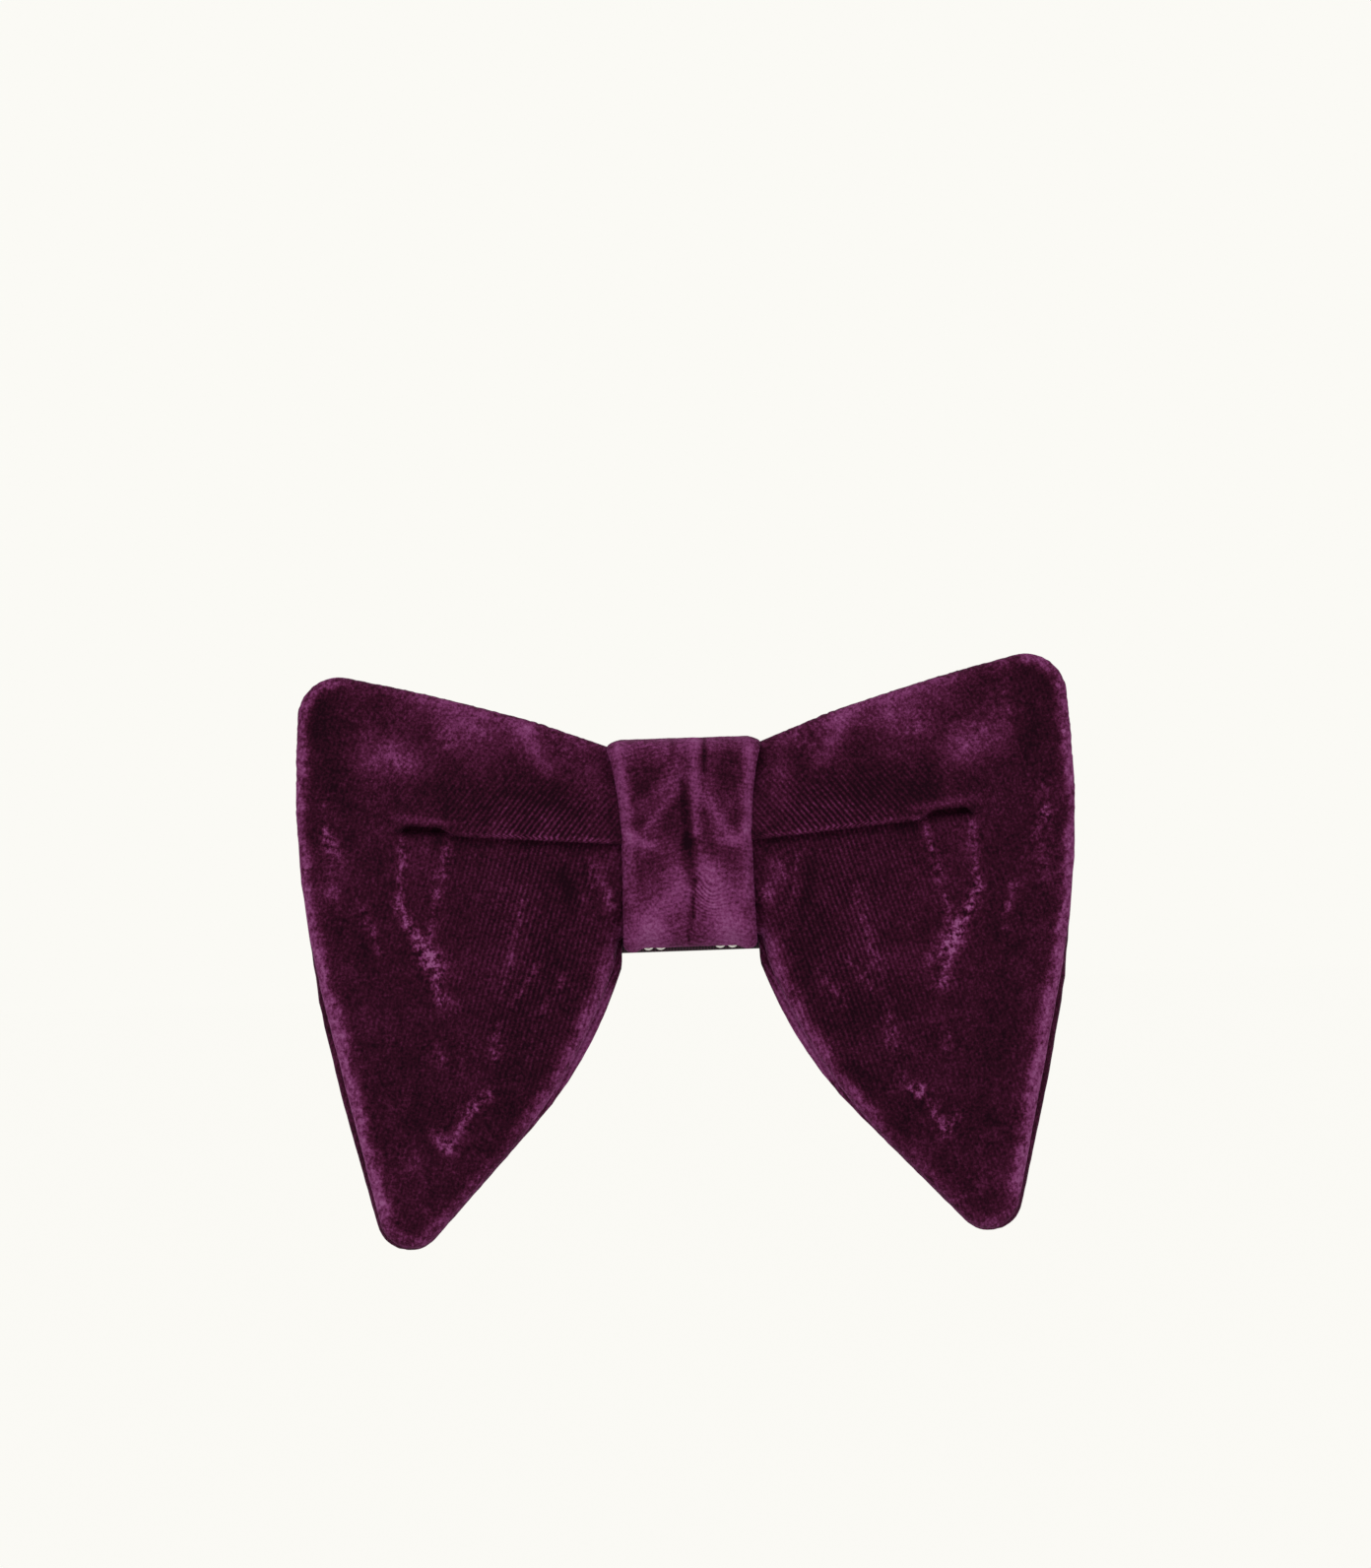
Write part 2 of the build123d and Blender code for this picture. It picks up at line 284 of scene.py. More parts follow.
# Spun or felted fibre: mottled at the size of its yarns, with a soft surface
def fibreCloth(name, dark, light, yarnSize, roughness):
    material, tree, shader = newMaterial(name)
    place = addNode(tree, "ShaderNodeTexCoord")
    grain = addNode(tree, "ShaderNodeTexNoise", {"Scale": 1 / yarnSize, "Detail": 3.0, "Roughness": 0.65},
                    {"Vector": place.outputs["Object"]})
    ramp = addNode(tree, "ShaderNodeValToRGB", {}, {"Fac": grain.outputs["Fac"]})
    fillRamp(ramp, [(0.3, dark), (0.7, light)])
    tree.links.new(ramp.outputs["Color"], shader.inputs["Base Color"])
    shader.inputs["Roughness"].default_value = roughness
    bump = addNode(tree, "ShaderNodeBump", {"Strength": 0.6, "Distance": yarnSize * 0.3},
                   {"Height": grain.outputs["Fac"]})
    tree.links.new(bump.outputs["Normal"], shader.inputs["Normal"])
    return material


velvet = crushedVelvet()
ribbed = grosgrain()
nickel = nickelPlate()
sewingThread = fibreCloth("twistedPolyesterThread", "#2c1022", "#5a2a49", 0.25 * mm, 0.5)
hairCanvas = fibreCloth("wovenHairCanvas", "#1c1217", "#3a2a33", 0.5 * mm, 0.9)
woolFelt = fibreCloth("pressedWoolFelt", "#1d0c16", "#3c2030", 0.5 * mm, 0.95)
print("materials made")

grid = {
    "rimPoints": 3000,  # along each side of a wing, to measure distances from
    # columns and rows draw together at the rims, and rows at the fold
    "rimCrowd": 0.85, "sideCrowd": 1.25, "foldCrowd": 0.4,
}
# outline of a wing in mm, from the waist along the top, down the side and back along the foot
frontBow = {
    "outline": [(0, 29.2), (12.4, 29.2), (13.6, 30.8), (29.5, 36.85), (50.0, 42.75), (73.6, 48.4), (76.6, 8.5),
                (59.2, -71.0), (23.4, -32.6), (15.0, -11.4), (13.8, -5.9), (0, -5.9)],
    "radii": (0.6, 0.8, 55, 200, 8, 160, 6.2, 105, 1.5, 1.0),
    "layer": "front_bow_interlining",
    # mm: half the padded depth, width of the rolled rim, extra depth in the middle
    "half": 2.2, "roll": 2.7, "crown": 1.1,
    "rimLight": 1.0, "pleated": True, "columns": 150, "rows": 132,
}
backBow = {
    "outline": [(0, 29.2), (12.4, 29.2), (13.6, 30.6), (29.5, 36.4), (72.4, 47.6), (77.2, 0.4),
                (59.6, -71.6), (20.6, -30.1), (13.4, -11.5), (13.2, -5.9), (0, -5.9)],
    "radii": (0.6, 0.8, 55, 8.6, 205, 6.5, 80, 1.5, 1.0),
    "layer": "back_bow_interlining",
    "half": 2.1, "roll": 3.0, "crown": 0.8,
    "rimLight": 0.0, "pleated": False, "columns": 76, "rows": 70,
}
pleat = {
    "inner": (16.2, 12.8), "outer": (55.5, 16.0),
    "tuck": 1.7,       # how far the cloth goes up behind the fold
    "proud": 1.4,      # how far the fold stands forward
    "gape": 0.5,       # more, where its outer end stands open
    "share": 0.10,     # of the rows of the grid
    "rise": 17.0,      # mm above the fold where the panel is level again
    # along x: where it closes at its end, where it starts to gape, where it shuts, and where the lip swells
    "ends": (53.5, 57.0), "gapes": (43.5, 48.5), "shuts": (54.0, 55.5), "swells": (40, 52),
}
# mm that the cloth swells where it leaves the knot, billows and puckers
gathers = {
    "swell": 0.9, "swellAt": 11, "swellWidth": 7,
    "billow": 0.25, "pucker": 0.08, "fuzz": 0.16,
    "from": (6.0, 12.0),        # the creases run out from here
}
# how far the pile lies over, from 0, standing, to 1, with a painted sheen highlight and ragged painted sheen
# flecks along the rolled rims
pileAndRimSheen = {
    "standing": 0.20,
    "reach": 1.0, "width": 1.1, "lowWidth": 0.6, "wander": 0.9,     # mm
    "rim": 0.10, "outer": 0.20, "low": 0.03, "inner": 0.18,
    "sheenFleckRim": 0.06, "sheenFleckOuter": 0.10, "sheenFleckLow": 0.04,
    "rear": 0.05, "rearLow": 0.14, "rearStrip": 0.26,
    "crushStrength": 0.72, "crushWidth": 1.25, "crushWander": 1.1,
}
# rows of pile lean from upright, in degrees, more above the fold
pileRows = {"lean": 108, "leanMore": 21, "show": 0.3, "showBelow": 0.9, "showAbove": 1.1}
# soft tucks that run out of the knot: angle, start, length, width, height, in mm
tucks = [
    (-82, 9, 24, 1.4, 0.5), (-66, 10, 34, 1.8, -0.5), (-52, 11, 40, 2.2, 0.45), (-38, 12, 30, 1.9, -0.35),
    (16, 11, 22, 1.8, 0.45), (34, 10, 20, 1.4, -0.45), (48, 10, 24, 2.0, 0.4),
]
# light and dark patches, painted highlights on the upper lobe and the lip above the fold, painted shade along
# and under the fold, and darker patches lower down: from x, z to x, z, width, strength; negative is darker
layAndShadingMarks = [
    (53.0, 29.5, 60.0, 31.0, 4.0, 0.26), (50.0, 40.5, 33.0, 35.5, 4.5, 0.20),
    (44.0, 36.0, 40.0, 30.0, 4.0, 0.12), (30.5, 34.5, 26.0, 27.0, 2.0, 0.24),
    (20.0, 31.5, 17.0, 20.0, 2.4, 0.12), (70.0, 42.0, 67.0, 30.0, 4.0, -0.12),
    (46.0, 22.0, 26.0, 22.0, 4.0, -0.10), (24.0, -8.0, 40.0, -50.0, 7.0, -0.08),
    (62.0, 0.0, 56.0, -40.0, 4.0, -0.06), (24.0, 8.0, 22.5, 0.0, 1.2, -0.16),
    (16.4, 8.0, 15.6, 0.0, 1.3, 0.14), (56.6, 19.0, 44.0, 17.4, 0.8, 0.20),
    (46.0, 15.6, 15.0, 13.0, 0.5, 0.16), (55.0, 16.4, 48.5, 16.2, 0.9, -0.16),
    (48.0, 14.4, 16.0, 11.8, 0.7, -0.10), (14.8, -4.0, 17.4, -14.0, 1.8, 0.14),
    (17.4, -14.0, 24.0, -27.0, 1.6, 0.08),
]
# ragged marks where the pile was pressed over
crushMarks = [
    (54.7, 14.6, 55.8, 1.8, 0.7, 0.44), (55.8, 1.8, 54.2, -2.0, 0.8, 0.44),
    (54.2, -2.0, 50.6, -7.8, 1.2, 0.46), (46.2, 13.6, 48.8, 4.1, 0.8, 0.40),
    (48.8, 4.1, 50.1, -4.4, 0.7, 0.34), (51.5, -6.0, 48.4, -10.5, 1.8, 0.36),
    (50.6, -7.8, 49.0, -16.8, 0.9, 0.40), (49.0, -16.8, 45.6, -17.6, 0.8, 0.36),
    (48.8, -13.0, 45.8, -12.2, 0.8, 0.26), (49.4, -26.5, 49.0, -29.4, 0.7, 0.36),
    (50.8, -42.4, 48.1, -45.2, 0.9, 0.42), (48.1, -45.2, 43.6, -37.5, 0.9, 0.46),
    (43.6, -37.5, 40.1, -34.8, 1.0, 0.44), (37.6, -21.0, 38.6, -29.2, 0.6, 0.34),
    (29.4, -10.9, 34.8, -17.9, 0.7, 0.30), (24.7, -12.9, 29.1, -19.4, 0.7, 0.30),
    (31.8, 2.0, 35.5, -9.9, 0.6, 0.26), (35.5, -9.9, 37.0, -18.0, 0.6, 0.20),
    (17.4, 7.5, 15.1, 1.4, 0.7, 0.30), (21.2, 9.0, 20.4, 2.0, 0.4, 0.20),
    (18.6, 10.0, 18.0, 4.0, 0.4, 0.18), (69.7, 16.6, 67.6, 11.8, 1.0, 0.34),
    (69.4, 21.0, 69.0, 4.0, 1.4, 0.20), (63.6, 2.1, 61.4, -2.7, 0.9, 0.36),
    (61.4, -2.7, 60.4, -6.4, 0.7, 0.24), (58.8, -45.0, 54.0, -48.0, 0.7, 0.20),
    (54.4, -55.5, 50.2, -58.4, 0.8, 0.18), (40.0, -52.0, 46.0, -60.0, 0.8, 0.16),
    (57.0, 31.8, 54.6, 28.8, 1.2, 0.22), (47.0, 34.4, 45.4, 32.6, 1.0, 0.22),
    (41.0, 37.2, 39.4, 34.6, 1.0, 0.18), (26.0, 33.0, 23.2, 30.0, 1.0, 0.20),
    (63.0, 38.6, 61.6, 36.0, 0.9, 0.16),
]


# how far a point lies from a straight mark
def markDistance(point, x1, z1, x2, z2):
    a, b = Vector((x1, z1)), Vector((x2, z2))
    along = min(max((point - a).dot(b - a) / (b - a).length_squared, 0), 1)
    return (point - a.lerp(b, along)).length


def pleatLine(x):
    (x1, z1), (x2, z2) = pleat["inner"], pleat["outer"]
    return z1 + (z2 - z1) * (min(x, x2 + 4) - x1) / (x2 - x1)


# A wing's outline as the four sides of a patch, whose corners lie in the middle of round corners
def wingPatch(look):
    samples, middles = roundedRun(look["outline"], look["radii"])
    cornerAt, tipAt = middles[-6], middles[-4]
    topAt, _ = alongRun(samples[:cornerAt + 1])
    sideAt, _ = alongRun(samples[cornerAt:tipAt + 1][::-1])
    footAt, _ = alongRun(samples[tipAt:][::-1])
    count = grid["rimPoints"]
    rim = kdtree.KDTree(3 * count)
    for k in range(count):
        for i, at in enumerate((topAt, sideAt, footAt)):
            rim.insert(at(k / (count - 1)).to_3d(), 3 * k + i)
    rim.balance()

    def patch(u, v):
        foot, top, inner, side = footAt(u), topAt(u), footAt(0).lerp(topAt(0), v), sideAt(v)
        corners = footAt(0).lerp(footAt(1), u).lerp(topAt(0).lerp(topAt(1), u), v)
        return foot.lerp(top, v) + inner.lerp(side, u) - corners

    return patch, rim


# shares along the grid, closer together at the rim
def ease(t):
    return t + grid["rimCrowd"] * (0.5 - 0.5 * math.cos(math.pi * t) - t)


# the fold in section, closed along its length and gaping at its outer end: up and forward
foldRun, _ = alongRun(roundedRun([(0, 0), (1.0, 0.08), (1.0, 0.45), (-0.12, 0.42), (-0.16, 1.0), (0.5, 1.0)],
                                 (0.1, 0.1, 0.05, 0.1))[0])
gapeRun, _ = alongRun(roundedRun([(0, 0), (0.2, -0.5), (2.0, -0.5), (2.0, 0.2),
                                  (0.85, 0.3), (0.8, 1.0), (1.4, 1.0)],
                                 (0.1, 0.2, 0.2, 0.05, 0.1))[0])


def makeBow(name, look, replaced):
    patch, rim = wingPatch(look)
    low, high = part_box(look["layer"])
    middle = (low[1] + high[1]) / 2 / mm
    foldHalf = pleat["share"] / 2
    seams = {}

    def foldAt(x, share):
        gaping = smooth(*pleat["gapes"], x) * (1 - smooth(*pleat["shuts"], x))
        up, out = foldRun(share).lerp(gapeRun(share), gaping)
        return up * pleat["tuck"] * (1 - smooth(*pleat["ends"], x)), out

    # rows draw together at the fold
    def toFold(t):
        return t - grid["foldCrowd"] * t * (1 - t) ** 2

    # the flat place of a grid point, and how far forward of the lower panel the fold puts it
    def lie(u, v):
        column = 1 - (1 - u) ** grid["sideCrowd"]
        if not look["pleated"]:
            return patch(column, ease(v)), 0.0
        if u not in seams:
            lower, upper = 0.0, 1.0
            for _ in range(16):
                share = (lower + upper) / 2
                point = patch(column, share)
                if point.y < pleatLine(point.x):
                    lower = share
                else:
                    upper = share
            seams[u] = lower
        seam = seams[u]
        if v < 0.5 - foldHalf:
            t = v / (0.5 - foldHalf)
            return patch(column, seam * toFold(t)), 0.0
        if v > 0.5 + foldHalf:
            t = (1 - v) / (0.5 - foldHalf)
            point = patch(column, 1 - (1 - seam) * toFold(t))
            up, out = foldAt(point.x, 1.0)
            return point + Vector((0, up * t ** 6)), 1.0
        point = patch(column, seam)
        up, out = foldAt(point.x, (v - 0.5 + foldHalf) / (2 * foldHalf))
        return point + Vector((0, up)), out

    def depthAt(flat, out, toRim, facing):
        inside = min(toRim / look["roll"], 1)
        depth = look["half"] * math.sqrt(max(1 - (1 - inside) ** 2, 0))
        settle = smooth(0.0, 4.0, toRim)
        if facing < 0 and look["pleated"]:
            shown = 1 - smooth(*pleat["ends"], flat.x)
            fade = 1 - smooth(0, pleat["rise"], flat.y - pleatLine(flat.x))
            proud = pleat["proud"] + pleat["gape"] * smooth(*pleat["swells"], flat.x)
            depth += proud * shown * fade * out * settle
        # each bow is crowned on its open side and flat where the two lie together
        if (facing < 0) == look["pleated"]:
            depth += look["crown"] * smooth(0, 26, toRim)
        # the gathers swell out of the knot
        swell = gathers["swell"] * bell(flat.x - gathers["swellAt"], gathers["swellWidth"])
        depth += swell * smooth(0, 6, toRim)
        ray = flat - Vector(gathers["from"])
        angle = math.degrees(math.atan2(ray.y, ray.x))
        for tuckAngle, start, length, width, height in tucks:
            turn = math.radians(angle - tuckAngle)
            if abs(turn) < 0.9:
                fade = smooth(4, start, ray.length) * (1 - smooth(start * 0.8, length, ray.length))
                depth += height * bell(ray.length * math.sin(turn), width) * fade * settle
        billow = noise.noise(Vector((flat.x * 0.09, flat.y * 0.07, 3.1 * facing)))
        pucker = noise.noise(Vector((flat.x * 0.5, flat.y * 0.5, 7.7 * facing)))
        return depth + settle * (gathers["billow"] * billow + gathers["pucker"] * pucker)

    bm = bmesh.new()
    for facing in (-1, 1):
        def place(u, v):
            flat, out = lie(u, v)
            nearest, _, toRim = rim.find(flat.to_3d())
            if min(v, 1 - v, 1 - u) < 1e-5:
                toRim = 0
            y = middle + facing * depthAt(flat, out, toRim, facing)
            # the rim's pile is a little uneven, away from the knot
            fuzz = gathers["fuzz"] * noise.noise(Vector((flat.x * 1.1, flat.y * 1.1, 5.0)))
            fuzz *= (1 - smooth(0, 2, toRim)) * smooth(16, 20, flat.x)
            outward = (nearest.to_2d() - Vector((40, 5))).normalized() * fuzz
            return Vector((flat.x + outward.x, y, flat.y + outward.y))

        joinInto(bm, placedGrid(look["columns"], look["rows"], place))
    mirrored = bmesh.ops.duplicate(bm, geom=bm.verts[:] + bm.edges[:] + bm.faces[:])["geom"]
    bmesh.ops.scale(bm, vec=(-1, 1, 1), verts=[g for g in mirrored if isinstance(g, bmesh.types.BMVert)])
    closeAndTurn(bm)
    piece = addPiece(name, bm, velvet, "bow", replaced)

    def layAndShadingAt(co):
        pileAndSheen = pileAndRimSheen
        flat = Vector((abs(co.x), co.z)) / mm
        toRim = rim.find(flat.to_3d())[2]
        # painted sheen highlight along the rolled rim, most on the lower outer side and under the knot
        low = smooth(20, -30, flat.y)
        ragged = pileAndSheen["wander"] * noise.noise(Vector((flat.x * 0.35, flat.y * 0.35, 4.4)))
        paintedRimSheen = bell(max(toRim + ragged - pileAndSheen["reach"], 0), pileAndSheen["width"] + pileAndSheen["lowWidth"] * low)
        paintedRimSheen *= look["rimLight"]
        # the outer side leans out as it goes down, and the light fades at the tip
        outer = smooth(-12, -7, flat.x - 75 + max(-flat.y, 0) * 0.21) * (1 - 0.75 * smooth(-54, -61, flat.y))
        # the inner side is rolled forward just below the knot
        inner = smooth(-14, -23, flat.y) * smooth(-47, -38, flat.y) * (1 - outer)
        value = pileAndSheen["standing"]
        value += paintedRimSheen * (pileAndSheen["rim"] + pileAndSheen["outer"] * outer + pileAndSheen["low"] * low + pileAndSheen["inner"] * inner)
        # the rear bow is dark, with no painted rim sheen but for a narrow painted sheen along its inner rim
        # low down and in the strip that shows inside below the knot
        strip = smooth(-13, -20, flat.y) * smooth(-38, -33, flat.y)
        shown = bell(toRim - 1, 2.2) * (1 - outer) * (pileAndSheen["rearLow"] * low + pileAndSheen["rearStrip"] * strip)
        value += (1 - look["rimLight"]) * (pileAndSheen["rear"] + shown)
        # ragged painted sheen flecks along the rolled rim, added to the pressed marks
        crushAndSheen = paintedRimSheen * (pileAndSheen["sheenFleckRim"] + pileAndSheen["sheenFleckOuter"] * outer + pileAndSheen["sheenFleckLow"] * low)
        if look["pleated"] and co.y / mm < middle:
            # light and dark patches, mostly painted highlight and painted shade about the fold and upper lobe
            for x1, z1, x2, z2, width, strength in layAndShadingMarks:
                value += strength * bell(markDistance(flat, x1, z1, x2, z2), width)
            wander = Vector((noise.noise(Vector((flat.x * 0.3, flat.y * 0.3, 1.3))),
                             noise.noise(Vector((flat.x * 0.3, flat.y * 0.3, 8.3))))) * pileAndSheen["crushWander"]
            for x1, z1, x2, z2, width, strength in crushMarks:
                reach = bell(markDistance(flat + wander, x1, z1, x2, z2), pileAndSheen["crushWidth"] * width)
                crushAndSheen += pileAndSheen["crushStrength"] * strength * reach
        return value, crushAndSheen

    def rowsAt(co):
        x, z = abs(co.x) / mm, co.z / mm
        above = smooth(-0.3, 0.6, z - pleatLine(x)) if look["pleated"] else 0.5
        lean = math.radians(pileRows["lean"] + pileRows["leanMore"] * above * (1 - smooth(56, 64, x)))
        across = x * math.sin(lean) - z * math.cos(lean)
        high = z - pleatLine(x)
        show = pileRows["show"]
        show += pileRows["showBelow"] * bell(x - 30, 15) * (1 - smooth(8, 14, high)) * smooth(-48, -10, z)
        show += pileRows["showAbove"] * above * bell(x - 27, 13) * (1 - smooth(4, 11, high))
        return across * mm, show

    dressVelvet(piece, layAndShadingAt, rowsAt)


# writes how far the pile lies over, with its painted highlights and painted shade, its pressed marks and
# painted rim sheen, and where and how strongly its rows show
def dressVelvet(piece, layAndShadingAt, rowsAt):
    mesh = piece.data
    layAndShading = mesh.attributes.new("layAndShading", "FLOAT", "POINT")
    crushAndRimSheen = mesh.attributes.new("crushAndRimSheen", "FLOAT", "POINT")
    show = mesh.attributes.new("rowShow", "FLOAT", "POINT")
    rowMap = mesh.uv_layers.new(name="pileRows")
    across = []
    for vert in mesh.vertices:
        layAndShading.data[vert.index].value, crushAndRimSheen.data[vert.index].value = layAndShadingAt(vert.co)
        where, show.data[vert.index].value = rowsAt(vert.co)
        across.append(where)
    for loop in mesh.loops:
        rowMap.data[loop.index].uv = (across[loop.vertex_index], mesh.vertices[loop.vertex_index].co.z)


makeBow("front_bow", frontBow, ("front_bow_face", "front_bow_back"))
makeBow("back_bow", backBow, ("back_bow_face", "back_bow_back"))
print("bows made")

knot = {
    "layer": 1.6,            # mm, the folded band
    "edgeRoll": 1.3,
    "bulge": 0.9,            # how far its front swells
    "arch": 1.1,             # how far the middle of its foot is pulled up
    "waistHalf": 12.6, "waistZ": 13.0, "footHalf": 13.0,
    "frontCorner": 4.4, "rearCorner": 1.8,
    "around": 240, "across": 150,
    # a ridge and a hollow beside each edge
    "hem": 0.35, "hemAt": 1.9, "hemGroove": 0.4, "hemGrooveAt": 4.4,
    "billow": 0.16, "pucker": 0.06, "drawIn": 0.7, "least": 0.1,
    "layAndShading": 0.40, "lighterLow": 0.09,
    "fanAt": (3.4, 2.5), "fanSize": (3, 4),                             # where the rows of pile fan out
}
# folds pressed into the front: x, z to x, z, width, height; negative is a groove
knotFolds = [
    (-0.5, 33.0, -0.4, 24.0, 0.7, -0.35), (-0.4, 24.0, 0.4, 12.2, 0.8, -0.75),
    (0.4, 12.2, 1.2, 4.9, 0.9, -0.75), (1.2, 4.9, 0.5, -2.0, 0.4, -0.55),
    (0.5, -2.0, -0.4, -7.0, 0.4, -0.40), (2.0, 33.0, 1.8, 14.0, 1.2, 0.55),
    (3.9, 33.0, 3.8, 25.0, 0.6, -0.50), (-1.4, 21.8, -7.6, 15.4, 1.1, 0.40),
    (-7.6, 15.4, -10.3, 12.4, 1.0, 0.35), (4.2, 20.7, 8.4, 12.4, 1.1, 0.35),
    (-8.6, 30.0, -6.6, 22.0, 2.4, -0.45), (9.0, 29.0, 8.0, 20.0, 2.4, -0.45),
    (-9.6, 16.6, -8.6, 15.4, 1.2, -0.40), (9.6, 17.6, 9.2, 15.0, 1.2, -0.40),
    (-4.0, 4.0, -9.0, -4.0, 2.6, 0.30), (5.0, 4.0, 9.0, -4.0, 2.6, 0.30),
    (-3.8, 16.6, -1.6, 10.0, 1.4, -0.30), (3.9, 17.0, 4.0, 12.0, 1.4, -0.30),
]
# painted highlights on the knot's rolled edges and fold ridges, painted shade in its grooves: from x, z to x,
# z, width, strength; negative is darker
knotPaintedShading = [
    (-12.8, 30.0, -11.1, 14.0, 1.3, 0.22), (-11.1, 14.0, -11.3, 2.0, 1.3, 0.14),
    (12.8, 30.0, 11.5, 14.0, 1.3, 0.22), (11.5, 14.0, 11.7, 2.0, 1.3, 0.14),
    (-12.0, 31.4, 12.0, 31.4, 2.0, 0.16), (-7.5, 29.5, -7.5, 25.0, 3.2, -0.16),
    (-9.6, 22.0, -8.0, 24.0, 2.0, -0.12), (8.6, 28.0, 8.4, 22.5, 2.6, -0.18),
    (-9.8, 16.4, -8.2, 15.0, 1.5, -0.20), (10.2, 17.4, 9.4, 15.2, 1.4, -0.20),
    (-1.8, 20.4, -3.8, 15.0, 1.5, -0.14), (-1.1, 22.4, -7.6, 15.4, 1.1, 0.18),
    (-7.6, 15.4, -10.3, 12.6, 0.9, 0.14), (4.0, 20.7, 8.4, 12.4, 1.2, 0.12),
    (-9.0, 12.4, -6.0, 11.8, 0.9, 0.16), (6.8, 12.4, 10.2, 12.2, 0.9, 0.16),
    (-8.4, 13.8, -8.0, 11.2, 0.8, 0.10), (8.8, 14.6, 9.0, 11.2, 0.8, 0.10),
    (-0.4, 23.3, 0.2, 12.2, 1.0, -0.28), (0.2, 12.2, 0.6, 5.5, 1.5, -0.34),
    (1.2, 4.9, 0.6, -2.0, 0.35, -0.30), (0.6, -2.0, -0.4, -6.4, 0.3, -0.24),
    (3.9, 32.0, 3.8, 26.0, 0.5, -0.28), (-2.0, 31.5, -2.6, 28.0, 0.5, -0.18),
    (2.0, 32.0, 1.8, 14.0, 1.0, 0.16), (-2.0, 5.5, -8.0, -6.0, 3.4, 0.24),
    (4.0, 6.0, 8.0, -6.0, 3.4, 0.26), (-8.0, 8.4, -5.0, 7.4, 2.4, -0.12),
    (8.0, 7.0, 6.0, 9.4, 2.0, -0.10), (-9.0, 1.6, -7.6, 0.0, 1.4, -0.08),
    (3.9, 17.0, 4.2, 11.0, 1.4, -0.16), (-5.4, 22.6, -2.4, 24.6, 1.6, 0.14),
]


def makeKnot():
    low, high = [Vector(c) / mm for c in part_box("knot_wrap")]
    half = knot["layer"] / 2
    frontY, rearY, footZ, topZ = low.y + half, high.y - half, low.z + half, high.z - half
    corners = [(frontY, 13), (frontY, topZ), (rearY, topZ), (rearY, footZ), (frontY, footZ), (frontY, 13)]
    front, rear = knot["frontCorner"], knot["rearCorner"]
    loop, _ = alongRun(roundedRun(corners, (front, rear, rear, front))[0])

    def halfWidth(z):
        waist, waistZ = knot["waistHalf"], knot["waistZ"]
        if z > waistZ:
            return waist + (high.x - waist) * ((z - waistZ) / (high.z - waistZ)) ** 2
        return waist + (knot["footHalf"] - waist) * ((waistZ - z) / (waistZ - low.z)) ** 2

    def place(u, v):
        centre = loop(u)
        along = (loop((u + 0.002) % 1) - loop((u - 0.002) % 1)).normalized()
        out = Vector((-along.y, along.x))
        width = halfWidth(centre.y)
        s = 1 - 4 * v if v < 0.5 else 4 * v - 3
        x = width * math.sin(math.pi / 2 * s)
        toEdge = width - abs(x)
        rolled = min(toEdge / knot["edgeRoll"], 1)
        lift = half * math.sqrt(max(1 - (1 - rolled) ** 2, 0))
        # centre.x is how far back the band is, centre.y its height
        frontness = smooth(low.y + 6.5, low.y + 1.5, centre.x)
        if v < 0.5:
            settle = smooth(0, 2.5, toEdge)
            lift += frontness * knot["hem"] * bell(toEdge - knot["hemAt"], 1.0)
            lift -= frontness * knot["hemGroove"] * bell(toEdge - knot["hemGrooveAt"], 1.6)
            for x1, z1, x2, z2, reach, height in knotFolds:
                fold = height * bell(markDistance(Vector((x, centre.y)), x1, z1, x2, z2), reach)
                lift += frontness * settle * fold
            lift += knot["billow"] * settle * noise.noise(Vector((x * 0.3, centre.y * 0.3, centre.x * 0.3)))
            lift += knot["pucker"] * noise.noise(Vector((x * 1.3, centre.y * 1.3, centre.x)))
            lift = max(lift, knot["least"]) * smooth(0, 0.3, toEdge)
        else:
            lift = -lift
        # the two long edges draw in towards the bow
        lift -= knot["drawIn"] * smooth(3.0, 0, toEdge)
        point = Vector((x, *(centre + out * lift)))
        swell = math.cos(math.pi * min(max((centre.y - 12) / 44, -0.5), 0.5))
        point.y -= frontness * knot["bulge"] * swell * (0.55 + 0.45 * math.cos(x / width * math.pi / 2))
        point.z += knot["arch"] * smooth(-2, -9, centre.y) * (1 - smooth(8.5, 12, abs(x)))
        return point

    bm = placedGrid(knot["around"], knot["across"], place)
    closeAndTurn(bm)
    piece = addPiece("knot", bm, velvet, "bow", ("knot_wrap",))

    def layAndShadingAt(co):
        x, y, z = co / mm
        # lighter towards the foot
        value = knot["layAndShading"] + knot["lighterLow"] * smooth(6, -8, z)
        # painted highlights and painted shade on the front
        if y < frontY + 6:
            for x1, z1, x2, z2, width, strength in knotPaintedShading:
                value += strength * bell(markDistance(Vector((x, z)), x1, z1, x2, z2), width)
        return value, 0.0

    def rowsAt(co):
        x, _, z = co / mm
        (fanX, fanZ), (wide, tall) = knot["fanAt"], knot["fanSize"]
        fan = bell(x - fanX, wide) * bell(z - fanZ, tall)
        return (z + 0.7 * fan * x + 0.25 * abs(x)) * mm, 0.35 + 1.3 * fan

    dressVelvet(piece, layAndShadingAt, rowsAt)


makeKnot()
print("knot made")

